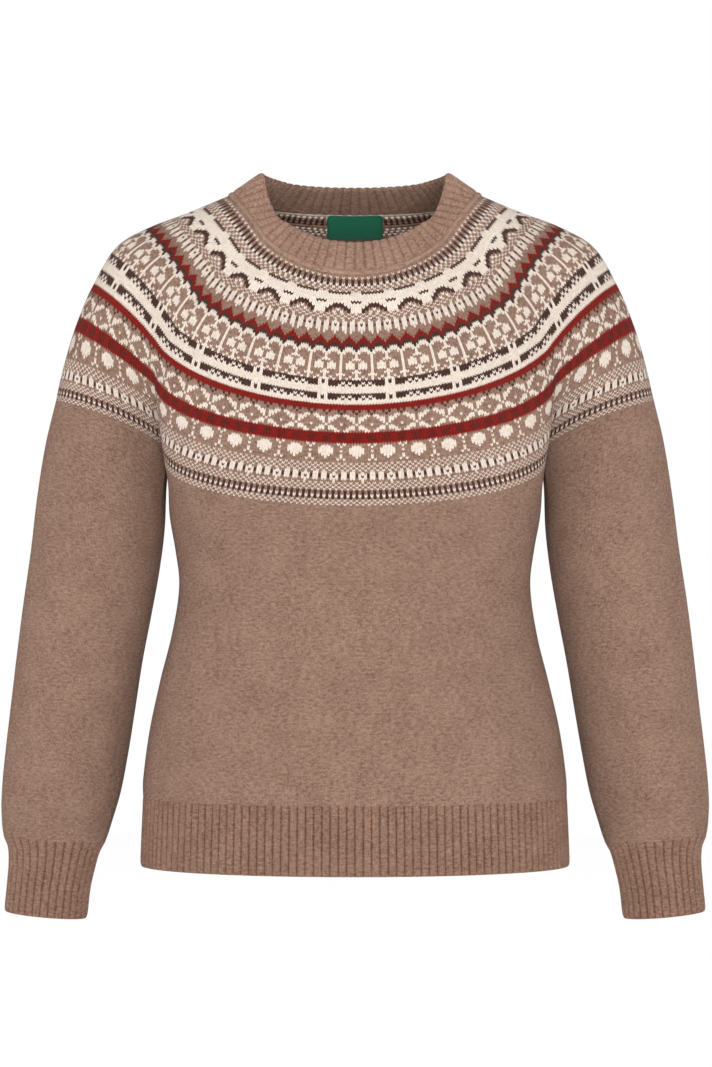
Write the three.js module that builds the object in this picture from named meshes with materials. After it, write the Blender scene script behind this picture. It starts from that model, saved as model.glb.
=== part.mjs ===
// A fair isle jumper, filled out and hanging as it is worn, with nobody in it. Its neck, hem and
// cuffs are open, and every piece is a wall of knitted cloth round an empty hollow.
// Millimetres. X runs to the wearer's left, -Y to the front, +Z up. The origin is in the middle
// of the neck at the height of the shoulders, where the wearer holds the garment up.
import * as THREE from 'three';

// Driving dimensions
const jersey = 2.0;            // wall of the plain knit
const stranded = 2.4;          // wall of the two-colour knit, which carries floats inside
const ribWall = 2.2;           // wall of a single rib, under its ridges
const doubled = 4.2;           // neckband, folded double
const ridge = 0.9;             // how far a rib stands up from its groove
const seam = 0.3;              // gap between two pieces that are linked together
const hemZ = -597;             // lowest edge of the body
const hemRib = 61;             // depth of the rib at the hem
const hemRibs = 134;           // ridges round the hem, half of them on each panel
const neckRibs = 72;
const cuffRibs = 30;
const label = { width: 50, height: 21, thick: 0.8, corner: 3, drop: 0.006 };
const degree = Math.PI / 180;

// Rings of the yoke, from the neck seam to the last row of the pattern. Each ring runs from the
// centre front (front) through the fold in front of the arm (fold, foldFront), over the shoulder
// (out) and through the fold behind it (foldBack) to the centre back (back). bodyTurn is the
// direction in which the chest runs into the fold, in degrees from +X, and sleeveTurn the one in
// which the sleeve leaves it: the two part where the crease under the arm deepens. ease is how
// far the climb from the fold to the shoulder is evened out at both its ends.
const ringColumns = 'level frontY frontZ backY backZ outX outY outZ'
  + ' foldX foldFrontY foldFrontZ foldBackY foldBackZ bodyTurn sleeveTurn ease';
const yokeRings = table(
  ringColumns,
  [
    [0.000, -89, -78, 92, -9, 113, 6, -1, 80, -58, -45, 72, -5, 43, 43, 0],
    [0.150, -101, -105, 101, -43, 150, 9, -16, 109, -66, -68, 80, -26, 41, 41, 0],
    [0.295, -107, -137, 107, -76, 182, 11, -28, 134, -68, -92, 84, -50, 40, 40, 0],
    [0.430, -111, -165, 110, -106, 213, 12, -46, 153, -68, -117, 85, -74, 40, 38, 0],
    [0.580, -113.5, -194, 112, -140, 235, 13, -82, 169, -65, -144, 82, -104, 46, 32, 0],
    [0.705, -115, -219, 112, -167, 248, 13, -113, 176, -54, -166, 74, -134, 76, 6, 0],
    [0.775, -116, -233, 112, -183, 255, 13, -134, 175, -42, -180, 64, -153, 90, -14, 0],
    [0.875, -117, -253, 111, -204, 262, 13, -160, 171, -25, -202, 47, -184, 101, -36, 0],
    [1.000, -118, -278, 109, -232, 267, 13, -183, 165, -6, -228, 30, -224, 106, -52, 0],
  ]);

// The upper edge of the neckband, as a ring of the same kind, one band's width above the seam.
const neckRings = table(
  ringColumns,
  [
    [-1, -64, -46.5, 68, 13.5, 82, 3, 20, 60, -42, -27, 52, 16, 43, 43, 1],
    [0, -89, -78, 92, -9, 113, 6, -1, 80, -58, -45, 72, -5, 43, 43, 0],
  ]);

// Sections of the body, each at a height.
const bodySections = table('z half frontY backY', [
  [-215, 171, -116, 109],
  [-258, 167.5, -119, 106],
  [-284, 165.5, -118, 103],
  [-316, 159.5, -113, 99],
  [-348, 156.3, -107, 97],
  [-391, 162.5, -104, 100],
  [-433, 173, -106, 105],
  [-476, 182.5, -109, 109],
  [-519, 188, -112, 110],
  [-540, 188.5, -112, 110],
  [-570, 189.8, -112, 109],
  [-600, 191, -112, 108],
]);

// Sections of the wearer's left sleeve. z is the height of the section's middle, out and in are
// its sides, middleY and depth its place and half depth from front to back, and slope is how
// much it climbs towards the outside.
const sleeveSections = table('z out in middleY depth slope', [
  [-205, 267, 167, 12, 54, 0.45],
  [-240, 276, 169.5, 15, 56, 0.36],
  [-284, 284, 170.5, 17, 57, 0.25],
  [-326, 290, 175, 19, 56, 0.18],
  [-369, 296.8, 182, 21, 55, 0.13],
  [-412, 302.5, 190, 22, 54, 0.1],
  [-455, 307.8, 196.8, 21, 53, 0.08],
  [-498, 313, 203.6, 18, 51, 0.065],
  [-530, 315.6, 209.5, 14, 48, 0.06],
  [-556, 315.2, 217, 11, 44, 0.06],
  [-573, 313.5, 222.6, 9, 40, 0.064],
  [-583, 309.5, 228, 8, 35, 0.07],
  [-597, 308.6, 232, 7, 31, 0.075],
  [-615, 309.8, 236, 5, 29.5, 0.08],
  [-641, 312.2, 238.8, 3, 29, 0.09],
]);
const sleeveTop = -205;        // middle of the sleeve's upper edge
const cuffTop = -573;          // middle of the seam between sleeve and cuff
const cuffEnd = -641;
const cuffRows = [[cuffTop, 0.4], [-585, 1], [-602, 1], [cuffEnd, 0.8]];   // z and share of the rib

// Colours of the yarns, as red, green and blue.
const colours = {
  yoke: [190, 170, 155],
  body: [158, 125, 108],
  sleeve: [152, 119, 103],
  rib: [150, 117, 100],
  label: [20, 78, 66],
};

// Soft folds in the body, each a trough or ridge between two points of the front or back.
const bodyFolds = table('x0 z0 x1 z1 width rise back', [
  [-150, -268, -118, -372, 11, 2.6, 0],
  [-135, -262, -96, -330, 9, -2.2, 0],
  [150, -270, 124, -350, 11, 2.2, 0],
  [136, -264, 104, -322, 9, -1.8, 0],
  [-128, -300, -40, -348, 13, -2.4, 1],
  [128, -304, 36, -352, 13, -2.4, 1],
  [-150, -500, -60, -528, 9, 1.5, 0],
  [152, -506, 70, -526, 9, 1.4, 0],
]);

function table(names, rows) {
  const keys = names.split(' ');
  return rows.map(row => Object.fromEntries(keys.map((key, i) => [key, row[i]])));
}

// A row between the rows of a table, every column carried along a smooth cubic.
function rowAt(rows, key, value) {
  const rising = rows[rows.length - 1][key] > rows[0][key] ? 1 : -1;
  let i = 0;
  while (i < rows.length - 2 && (value - rows[i + 1][key]) * rising > 0) i++;
  const span = rows[i + 1][key] - rows[i][key];
  const t = Math.min(1, Math.max(0, (value - rows[i][key]) / span));
  const result = {};
  for (const name of Object.keys(rows[0])) {
    const slope = j => {
      const a = Math.max(0, j - 1);
      const b = Math.min(rows.length - 1, j + 1);
      return (rows[b][name] - rows[a][name]) / (rows[b][key] - rows[a][key]) * span;
    };
    const [p, q] = [rows[i][name], rows[i + 1][name]];
    const [m, n] = [slope(i), slope(i + 1)];
    const bend = 2 * (p - q) + m + n;
    result[name] = p + t * (m + t * (3 * (q - p) - 2 * m - n + t * bend));
  }
  return result;
}

// Ways to climb from one point to the next.
const late = t => t * t;
const early = t => 1 - (1 - t) ** 2;
const eased = (t, share) => (1 - share) * early(t) + share * t * t * (3 - 2 * t);

// A point of a cubic that leaves one point along an angle and reaches the next along another,
// as near to a part of an ellipse as a cubic comes. climb is its share of the way up, and a flat
// one bulges no further to the front or back than its ends.
function arc(from, to, leave, arrive, t, climb, flat) {
  const chord = Math.hypot(to.x - from.x, to.y - from.y);
  const handle = chord * 2 / 3 / (1 + Math.cos((arrive - leave) * degree / 2));
  const reach = angle => {
    const rise = Math.abs(Math.sin(angle * degree));
    return flat && rise > 0.1 ? Math.min(handle, 0.7 * Math.abs(to.y - from.y) / rise) : handle;
  };
  const [start, end] = [reach(leave), reach(arrive)];
  const near = { x: from.x + start * Math.cos(leave * degree), y: from.y + start * Math.sin(leave * degree) };
  const far = { x: to.x - end * Math.cos(arrive * degree), y: to.y - end * Math.sin(arrive * degree) };
  const share = [(1 - t) ** 3, 3 * t * (1 - t) ** 2, 3 * t * t * (1 - t), t ** 3];
  const controls = [from, near, far, to];
  const along = axis => controls.reduce((sum, point, i) => sum + share[i] * point[axis], 0);
  return new THREE.Vector3(along('x'), along('y'), from.z + (to.z - from.z) * climb);
}

// A point of a ring: turn runs from 0 at the centre front through 1 and 3 at the folds, 2 at the
// shoulder and 4 at the centre back to 8, and the second half mirrors the first.
function ringPoint(ring, turn) {
  const side = turn > 4 ? -1 : 1;
  const q = turn > 4 ? 8 - turn : Math.abs(turn);
  const front = { x: 0, y: ring.frontY, z: ring.frontZ };
  const foldFront = { x: ring.foldX, y: ring.foldFrontY, z: ring.foldFrontZ };
  const out = { x: ring.outX, y: ring.outY, z: ring.outZ };
  const foldBack = { x: ring.foldX, y: ring.foldBackY, z: ring.foldBackZ };
  const back = { x: 0, y: ring.backY, z: ring.backZ };
  const { bodyTurn, sleeveTurn, ease } = ring;
  const arcs = [
    () => arc(front, foldFront, 0, bodyTurn, q, late(q), true),
    () => arc(foldFront, out, sleeveTurn, 90, q - 1, eased(q - 1, ease), false),
    () => arc(out, foldBack, 90, 180 - sleeveTurn, q - 2, late(q - 2), false),
    () => arc(foldBack, back, 180 - bodyTurn, 180, q - 3, early(q - 3), true),
  ];
  const point = arcs[Math.min(3, Math.floor(q))]();
  point.x *= turn < 0 ? -1 : side;
  return point;
}

// The skin of yoke and neckband: level runs from -1 at the neck's edge through 0 at the seam to
// 1 at the last row of the pattern.
function yokePoint(level, turn) {
  const rings = level < 0 ? neckRings : yokeRings;
  return ringPoint(rowAt(rings, 'level', level), turn);
}

// Outward normal of a skin given as a function of two parameters, by central differences.
function normalOf(skin, a, b, stepA, stepB) {
  const down = skin(a + stepA, b).sub(skin(a - stepA, b));
  const along = skin(a, b + stepB).sub(skin(a, b - stepB));
  return down.cross(along).normalize();
}

// At a seam between two tubes the wall's edge is level, so that both edges match.
function levelled(normal) {
  return new THREE.Vector3(normal.x, normal.y, 0).normalize();
}

// A closed wall from rows of outer and inner points. A tube joins its last column to its first,
// and a panel is closed at both sides.
function wallGeometry(outer, inner, tube) {
  const rows = outer.length;
  const columns = outer[0].length;
  const points = [...outer.flat(), ...inner.flat()];
  const out = (i, j) => i * columns + j % columns;
  const into = (i, j) => rows * columns + out(i, j);
  const faces = [];
  const quad = (a, b, c, d) => faces.push(a, b, c, a, c, d);
  const spans = tube ? columns : columns - 1;
  for (let j = 0; j < spans; j++) {
    for (let i = 0; i < rows - 1; i++) {
      quad(out(i, j), out(i + 1, j), out(i + 1, j + 1), out(i, j + 1));
      quad(into(i, j), into(i, j + 1), into(i + 1, j + 1), into(i + 1, j));
    }
    quad(out(0, j), out(0, j + 1), into(0, j + 1), into(0, j));
    quad(out(rows - 1, j), into(rows - 1, j), into(rows - 1, j + 1), out(rows - 1, j + 1));
  }
  if (!tube) {
    const last = columns - 1;
    for (let i = 0; i < rows - 1; i++) {
      quad(out(i, 0), into(i, 0), into(i + 1, 0), out(i + 1, 0));
      quad(out(i, last), out(i + 1, last), into(i + 1, last), into(i, last));
    }
  }
  const geometry = new THREE.BufferGeometry();
  geometry.setAttribute('position', new THREE.Float32BufferAttribute(points.flatMap(p => p.toArray()), 3));
  geometry.setIndex(faces);
  geometry.computeVertexNormals();
  return geometry;
}

function steps(count, from, to) {
  return Array.from({ length: count + 1 }, (_, i) => from + (to - from) * i / count);
}

// Turns of a ring that part it into equal lengths, so that ribs are evenly spaced.
const measuredSteps = 1600;
function evenTurns(pointAt, count, from, to) {
  const fine = steps(measuredSteps, from, to);
  const points = fine.map(pointAt);
  const lengths = [0];
  for (let i = 1; i < fine.length; i++) lengths.push(lengths[i - 1] + points[i].distanceTo(points[i - 1]));
  const total = lengths[lengths.length - 1];
  return steps(count, 0, total).map(length => {
    const i = Math.min(fine.length - 1, Math.max(1, lengths.findIndex(l => l >= length)));
    const share = (length - lengths[i - 1]) / (lengths[i] - lengths[i - 1]);
    return fine[i - 1] + (fine[i] - fine[i - 1]) * share;
  });
}

function knit([red, green, blue]) {
  const color = new THREE.Color().setRGB(red / 255, green / 255, blue / 255, THREE.SRGBColorSpace);
  return new THREE.MeshStandardMaterial({ color, roughness: 0.95, metalness: 0 });
}

const jumper = new THREE.Group();
jumper.name = 'fair_isle_jumper';

function add(name, geometry, material) {
  const mesh = new THREE.Mesh(geometry, material);
  mesh.name = name;
  jumper.add(mesh);
}

// Turns of the yoke's columns: closer together where the cloth folds.
const halfTurns = [
  ...steps(9, 0, 0.9), 0.955, 1, 1.07, ...steps(5, 1.2, 1.8), 2,
  ...steps(5, 2.2, 2.8), 2.93, 3, 3.045, ...steps(9, 3.1, 4),
];
const yokeTurns = [...halfTurns, ...halfTurns.slice(1, -1).reverse().map(q => 8 - q)];

// Points of the yoke's two faces at a level.
function yokeRow(level) {
  const outer = yokeTurns.map(turn => yokePoint(level, turn));
  const inner = yokeTurns.map((turn, j) => {
    const normal = normalOf(yokePoint, level, turn, 0.01, 0.02);
    return outer[j].clone().addScaledVector(normal, -stranded);
  });
  return { outer, inner };
}

function makeYoke() {
  const levels = [0.004, ...steps(12, 0.08, 1)];
  const rows = levels.map(yokeRow);
  add('yoke', wallGeometry(rows.map(r => r.outer), rows.map(r => r.inner), true), knit(colours.yoke));
  return rows[rows.length - 1];
}

// The neckband is folded double: its section goes up the outside, over the edge and down inside.
// Each row has a level, the share of the edge's rounding that draws it in, and a share of the rib.
const neckSection = table('level rounding rib', [
  [-0.95, 0.55, 0.6], [-0.5, 0, 1], [-0.01, 0, 0.7],
]);
const neckLift = 0.4;          // outer face of the band over the yoke's skin
const neckRounding = 0.9;

function makeNeckband() {
  const around = evenTurns(turn => yokePoint(-0.5, turn), 2 * neckRibs, 0, 8).slice(0, -1);
  const normalAt = (level, turn) => normalOf(yokePoint, level, turn, 0.02, 0.02);
  const face = side => neckSection.map(({ level, rounding, rib }) => around.map((turn, j) => {
    const ribs = ridge * rib * (j % 2 ? 0.5 : -0.5);
    const lift = side > 0 ? neckLift + ribs : neckLift - doubled - ribs * 0.8;
    return yokePoint(level, turn).addScaledVector(normalAt(level, turn), lift - side * neckRounding * rounding);
  }));
  const crest = around.map(turn => {
    return yokePoint(-1, turn).addScaledVector(normalAt(-0.97, turn), neckLift - doubled / 2);
  });
  const innerFace = face(-1);
  const crestIn = crest.map((p, j) => p.clone().lerp(innerFace[0][j], 0.25));
  add('neckband', wallGeometry([crest, ...face(1)], [crestIn, ...innerFace], true), knit(colours.rib));
}

function foldLift(x, z, back) {
  let lift = 0;
  for (const f of bodyFolds) {
    if ((f.back > 0) !== back) continue;
    const [dx, dz] = [f.x1 - f.x0, f.z1 - f.z0];
    const share = ((x - f.x0) * dx + (z - f.z0) * dz) / (dx * dx + dz * dz);
    const clamped = Math.min(1, Math.max(0, share));
    const far = Math.hypot(x - f.x0 - clamped * dx, z - f.z0 - clamped * dz);
    const ends = Math.sin(Math.PI * Math.min(1, Math.max(0, 0.15 + 0.7 * clamped)));
    lift += f.rise * ends * Math.exp(-((far / f.width) ** 2));
  }
  return lift;
}

// A point of the body's skin at an angle round it and a height.
function bodyPoint(z, angle) {
  const section = rowAt(bodySections, 'z', z);
  const depth = Math.cos(angle) > 0 ? -section.frontY : section.backY;
  const x = section.half * Math.sin(angle);
  const lift = foldLift(x, z, Math.cos(angle) < 0);
  const y = -(depth + lift) * Math.cos(angle);
  return new THREE.Vector3(x, y, z);
}

// One panel of the body, from the yoke's edge down to the rib. Its upper edge repeats the
// yoke's, and the difference to the plain section fades out below it.
function makePanel(name, edge, isBack) {
  const size = yokeTurns.length;
  const half = size / 2;
  const firstFold = yokeTurns.indexOf(1);
  const secondFold = yokeTurns.indexOf(3);
  const reach = isBack ? half - secondFold : firstFold;
  const middle = isBack ? half : 0;
  const columns = [];
  const shift = new THREE.Vector3(0, 0, -seam);
  for (let k = -reach; k <= reach; k++) {
    const j = (middle + k + size) % size;
    const atFold = Math.abs(k) === reach;
    const out = edge.outer[j].clone().add(shift);
    const into = edge.inner[j].clone().add(shift);
    if (atFold) {
      out.x -= Math.sign(out.x) * seam;
      into.copy(out);
      into.x -= Math.sign(out.x) * jersey;
    }
    columns.push({ out, into });
  }
  // The stretch under the arm, up to the side seam.
  const fold = yokeRings[yokeRings.length - 1];
  const sideY = (fold.foldFrontY + fold.foldBackY) / 2;
  const sideZ = (fold.foldFrontZ + fold.foldBackZ) / 2;
  const side = (corner, share) => {
    const y = isBack ? sideY + seam / 2 : sideY - seam / 2;
    const out = corner.out.clone().lerp(new THREE.Vector3(corner.out.x, y, sideZ - seam), share);
    const into = out.clone();
    into.x -= Math.sign(out.x) * jersey;
    return { out, into };
  };
  const [first, last] = [columns[0], columns[columns.length - 1]];
  columns.unshift(side(first, 1), side(first, 0.5));
  columns.push(side(last, 0.5), side(last, 1));

  const bottom = hemZ + hemRib + seam;
  const angles = columns.map(({ out }) => {
    const section = rowAt(bodySections, 'z', out.z);
    const depth = out.y < 0 ? -section.frontY : section.backY;
    return Math.atan2(out.x / section.half, -out.y / depth);
  });
  const outer = [columns.map(c => c.out)];
  const inner = [columns.map(c => c.into)];
  const fadeLength = 0.3;
  for (const share of [0.06, 0.13, 0.21, 0.3, 0.4, 0.52, 0.64, 0.76, 0.88, 1]) {
    const skin = (s, j) => {
      const z = columns[j].out.z + (bottom - columns[j].out.z) * s;
      const offset = columns[j].out.clone().sub(bodyPoint(columns[j].out.z, angles[j]));
      return bodyPoint(z, angles[j]).addScaledVector(offset, Math.max(0, 1 - s / fadeLength) ** 2);
    };
    const row = columns.map((_, j) => skin(share, j));
    outer.push(row);
    inner.push(row.map((p, j) => {
      const down = skin(Math.min(1, share + 0.02), j).sub(skin(share - 0.02, j));
      const next = row[Math.min(j + 1, row.length - 1)].clone().sub(row[Math.max(j - 1, 0)]);
      const normal = down.cross(next).normalize();
      return p.clone().addScaledVector(share === 1 ? levelled(normal) : normal, -jersey);
    }));
  }
  add(name, wallGeometry(outer, inner, false), knit(colours.body));
  return [angles[0], angles[angles.length - 1]];
}

// The rib of one panel: ridges on the outside of a wall that is plain inside.
function makeHemRib(name, isBack) {
  const ribs = hemRibs / 2;
  const z = hemZ + hemRib / 2;
  const gap = seam / 2 / rowAt(bodySections, 'z', z).half;
  const middle = isBack ? Math.PI : 0;
  const [from, to] = [middle - Math.PI / 2 + gap, middle + Math.PI / 2 - gap];
  const around = evenTurns(angle => bodyPoint(z, angle), 2 * ribs, from, to);
  const outer = [];
  const inner = [];
  for (const [height, rib] of [[hemRib, 0.8], [0, 1]]) {
    const level = hemZ + height;
    const normals = around.map(angle => levelled(normalOf(bodyPoint, level, angle, -1, 0.01)));
    outer.push(around.map((angle, j) => {
      return bodyPoint(level, angle).addScaledVector(normals[j], ridge * rib * (j % 2 ? 0.5 : -0.5));
    }));
    inner.push(around.map((angle, j) => bodyPoint(level, angle).addScaledVector(normals[j], -ribWall)));
  }
  add(name, wallGeometry(outer, inner, false), knit(colours.rib));
}

// A point of the left sleeve's skin at a height of its middle and an angle from the outside,
// through the front, to the body's side.
function sleevePoint(z, angle) {
  const section = rowAt(sleeveSections, 'z', z);
  const middle = (section.out + section.in) / 2;
  const half = (section.out - section.in) / 2;
  const x = middle + half * Math.cos(angle);
  const y = section.middleY - section.depth * Math.sin(angle);
  return new THREE.Vector3(x, y, z + section.slope * (x - middle));
}

// A sleeve from the yoke's edge down to the cuff. It is worked out on the left and mirrored.
function makeSleeve(name, edge, side) {
  const from = yokeTurns.indexOf(1);
  const to = yokeTurns.indexOf(3);
  const columns = [];
  for (let j = from; j <= to; j++) {
    const out = edge.outer[j].clone();
    const into = edge.inner[j].clone();
    out.z -= seam;
    into.z -= seam;
    if (j === from || j === to) {
      out.x += seam;
      into.copy(out);
      into.x += jersey;
    }
    columns.push({ out, into });
  }
  const [first, last] = [columns[0], columns[columns.length - 1]];
  for (const share of [0.25, 0.5, 0.75]) {
    const out = last.out.clone().lerp(first.out, share);
    const into = out.clone();
    into.x += jersey;
    columns.push({ out, into });
  }
  const top = rowAt(sleeveSections, 'z', sleeveTop);
  const middle = (top.out + top.in) / 2;
  const angles = columns.map(({ out }) => {
    return Math.atan2(-(out.y - top.middleY) / top.depth, (out.x - middle) / ((top.out - top.in) / 2));
  });
  const fadeLength = 0.26;
  const skin = (s, j) => {
    const z = sleeveTop + (cuffTop + seam - sleeveTop) * s;
    const offset = columns[j].out.clone().sub(sleevePoint(sleeveTop, angles[j]));
    return sleevePoint(z, angles[j]).addScaledVector(offset, Math.max(0, 1 - s / fadeLength) ** 2);
  };
  const outer = [columns.map(c => c.out)];
  const inner = [columns.map(c => c.into)];
  const count = columns.length;
  for (const share of [0.05, 0.11, 0.18, 0.26, 0.36, 0.47, 0.58, 0.69, 0.8, 0.89, 0.95, 1]) {
    const row = columns.map((_, j) => skin(share, j));
    outer.push(row);
    inner.push(row.map((p, j) => {
      const down = skin(Math.min(1, share + 0.02), j).sub(skin(share - 0.02, j));
      const next = row[(j + 1) % count].clone().sub(row[(j + count - 1) % count]);
      const normal = down.cross(next).normalize();
      return p.clone().addScaledVector(share === 1 ? levelled(normal) : normal, -jersey);
    }));
  }
  addSided(name, outer, inner, side, knit(colours.sleeve));
}

// Adds a tube that is worked out for the left side, mirrored where it belongs to the right.
function addSided(name, outer, inner, side, material) {
  const place = rows => rows.map(row => {
    const mirrored = row.map(p => new THREE.Vector3(p.x * side, p.y, p.z));
    return side < 0 ? mirrored.reverse() : mirrored;
  });
  add(name, wallGeometry(place(outer), place(inner), true), material);
}

function makeCuff(name, side) {
  const pointAt = angle => sleevePoint((cuffTop + cuffEnd) / 2, angle);
  const around = evenTurns(pointAt, 2 * cuffRibs, Math.PI, -Math.PI).slice(0, -1);
  const outer = [];
  const inner = [];
  for (const [z, rib] of cuffRows) {
    const tilted = angle => normalOf((a, b) => sleevePoint(-a, -b), -z, -angle, 1, 0.02);
    const normal = angle => (z === cuffTop ? levelled(tilted(angle)) : tilted(angle));
    outer.push(around.map((angle, j) => {
      return sleevePoint(z, angle).addScaledVector(normal(angle), ridge * rib * (j % 2 ? 0.5 : -0.5));
    }));
    inner.push(around.map(angle => sleevePoint(z, angle).addScaledVector(normal(angle), -ribWall)));
  }
  addSided(name, outer, inner, side, knit(colours.rib));
}

// The woven label, sewn inside the back just under the neck seam, on points of the yoke's wall
// moved inward. Its corners are rounded, and it has one width at every height.
const yokeDepth = 220;         // of the yoke's back, along the cloth
const labelShares = [-1, -0.97, -0.88, -0.5, 0, 0.5, 0.88, 0.97, 1];

function makeLabel() {
  const row = (down, inset) => labelShares.map(share => {
    const x = share * label.width / 2;
    const beyond = Math.max(0, Math.abs(x) - (label.width / 2 - label.corner));
    const trimmed = label.corner - Math.sqrt(label.corner ** 2 - Math.min(beyond, label.corner * 0.98) ** 2);
    const height = label.height / 2 - trimmed;
    const level = label.drop + (label.height / 2 + down * height) / yokeDepth;
    const nearby = 0.1;
    const turn = 4 + x * nearby / yokePoint(level, 4 - nearby).x;
    const normal = normalOf(yokePoint, level, turn, 0.01, 0.02);
    return yokePoint(level, turn).addScaledVector(normal, -stranded - seam - inset);
  });
  const downs = [-1, -0.33, 0.33, 1];
  const geometry = wallGeometry(downs.map(d => row(d, 0)), downs.map(d => row(d, label.thick)), false);
  add('neck_label', geometry, knit(colours.label));
}

const edge = makeYoke();
makeNeckband();
makePanel('front', edge, false);
makePanel('back', edge, true);
makeHemRib('hem_rib_front', false);
makeHemRib('hem_rib_back', true);
makeSleeve('sleeve_left', edge, 1);
makeSleeve('sleeve_right', edge, -1);
makeCuff('cuff_left', 1);
makeCuff('cuff_right', -1);
makeLabel();

export default jumper;
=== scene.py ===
import math

import bpy
import numpy as np
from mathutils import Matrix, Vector


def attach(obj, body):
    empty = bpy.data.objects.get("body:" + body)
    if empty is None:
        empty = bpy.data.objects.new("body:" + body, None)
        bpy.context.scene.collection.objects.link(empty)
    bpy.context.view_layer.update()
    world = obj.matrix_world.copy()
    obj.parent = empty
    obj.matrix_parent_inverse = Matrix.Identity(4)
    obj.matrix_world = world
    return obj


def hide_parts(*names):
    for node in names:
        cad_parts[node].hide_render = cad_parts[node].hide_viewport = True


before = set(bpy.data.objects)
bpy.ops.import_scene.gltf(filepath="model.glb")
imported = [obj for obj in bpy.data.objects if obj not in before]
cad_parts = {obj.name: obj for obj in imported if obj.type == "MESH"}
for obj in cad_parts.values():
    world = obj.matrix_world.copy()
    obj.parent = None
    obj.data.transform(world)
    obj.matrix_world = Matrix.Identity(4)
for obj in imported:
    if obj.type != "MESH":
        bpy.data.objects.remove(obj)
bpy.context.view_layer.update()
print("frame loaded")

# The tables are in millimetres and the scene is in metres. X runs to the wearer's left, -Y to the
# front and +Z up, from the middle of the neck at the height of the shoulders.
millimetre = 0.001
wall = {"jersey": 2.0, "stranded": 2.4}
stitch = {"width": 2.57, "height": 2.0}
hemTop = -536
sleeveLevels = {"top": -205, "seam": -573}


class Table:
    # Rows with named columns. Between two rows every column follows a smooth cubic of the first.
    def __init__(self, names, rows):
        self.names = names.split()
        self.rows = np.array(rows, float)
        key = self.rows[:, 0]
        after = np.minimum(np.arange(len(key)) + 1, len(key) - 1)
        before = np.maximum(np.arange(len(key)) - 1, 0)
        rise = self.rows[after] - self.rows[before]
        self.slopes = rise / (key[after] - key[before])[:, None]

    def at(self, value):
        value = np.asarray(value, float)
        key = self.rows[:, 0]
        rising = np.sign(key[-1] - key[0])
        i = np.searchsorted(key * rising, value * rising, side="right") - 1
        i = np.clip(i, 0, len(key) - 2)
        span = key[i + 1] - key[i]
        t = np.clip((value - key[i]) / span, 0, 1)[..., None]
        p, q = self.rows[i], self.rows[i + 1]
        m, n = self.slopes[i] * span[..., None], self.slopes[i + 1] * span[..., None]
        row = p + t * (m + t * (3 * (q - p) - 2 * m - n + t * (2 * (p - q) + m + n)))
        return {name: row[..., k] for k, name in enumerate(self.names)}


ringColumns = (
    "level frontY frontZ backY backZ outX outY outZ"
    " foldX foldFrontY foldFrontZ foldBackY foldBackZ bodyTurn sleeveTurn ease"
)
yokeRings = Table(
    ringColumns,
    [
        [0.000, -89, -78, 92, -9, 113, 6, -1, 80, -58, -45, 72, -5, 43, 43, 0],
        [0.150, -101, -105, 101, -43, 150, 9, -16, 109, -66, -68, 80, -26, 41, 41, 0],
        [0.295, -107, -137, 107, -76, 182, 11, -28, 134, -68, -92, 84, -50, 40, 40, 0],
        [0.430, -111, -165, 110, -106, 213, 12, -46, 153, -68, -117, 85, -74, 40, 38, 0],
        [0.580, -113.5, -194, 112, -140, 235, 13, -82, 169, -65, -144, 82, -104, 46, 32, 0],
        [0.705, -115, -219, 112, -167, 248, 13, -113, 176, -54, -166, 74, -134, 76, 6, 0],
        [0.775, -116, -233, 112, -183, 255, 13, -134, 175, -42, -180, 64, -153, 90, -14, 0],
        [0.875, -117, -253, 111, -204, 262, 13, -160, 171, -25, -202, 47, -184, 101, -36, 0],
        [1.000, -118, -278, 109, -232, 267, 13, -183, 165, -6, -228, 30, -224, 106, -52, 0],
    ],
)
neckRings = Table(
    ringColumns,
    [
        [-1, -64, -46.5, 68, 13.5, 82, 3, 20, 60, -42, -27, 52, 16, 43, 43, 1],
        [0, -89, -78, 92, -9, 113, 6, -1, 80, -58, -45, 72, -5, 43, 43, 0],
    ],
)
bodySections = Table(
    "z half frontY backY",
    [
        [-215, 171, -116, 109],
        [-258, 167.5, -119, 106],
        [-284, 165.5, -118, 103],
        [-316, 159.5, -113, 99],
        [-348, 156.3, -107, 97],
        [-391, 162.5, -104, 100],
        [-433, 173, -106, 105],
        [-476, 182.5, -109, 109],
        [-519, 188, -112, 110],
        [-540, 188.5, -112, 110],
        [-570, 189.8, -112, 109],
        [-600, 191, -112, 108],
    ],
)
sleeveSections = Table(
    "z out in middleY depth slope",
    [
        [-205, 267, 167, 12, 54, 0.45],
        [-240, 276, 169.5, 15, 56, 0.36],
        [-284, 284, 170.5, 17, 57, 0.25],
        [-326, 290, 175, 19, 56, 0.18],
        [-369, 296.8, 182, 21, 55, 0.13],
        [-412, 302.5, 190, 22, 54, 0.1],
        [-455, 307.8, 196.8, 21, 53, 0.08],
        [-498, 313, 203.6, 18, 51, 0.065],
        [-530, 315.6, 209.5, 14, 48, 0.06],
        [-556, 315.2, 217, 11, 44, 0.06],
        [-573, 313.5, 222.6, 9, 40, 0.064],
        [-583, 309.5, 228, 8, 35, 0.07],
        [-597, 308.6, 232, 7, 31, 0.075],
        [-615, 309.8, 236, 5, 29.5, 0.08],
        [-641, 312.2, 238.8, 3, 29, 0.09],
    ],
)
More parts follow.
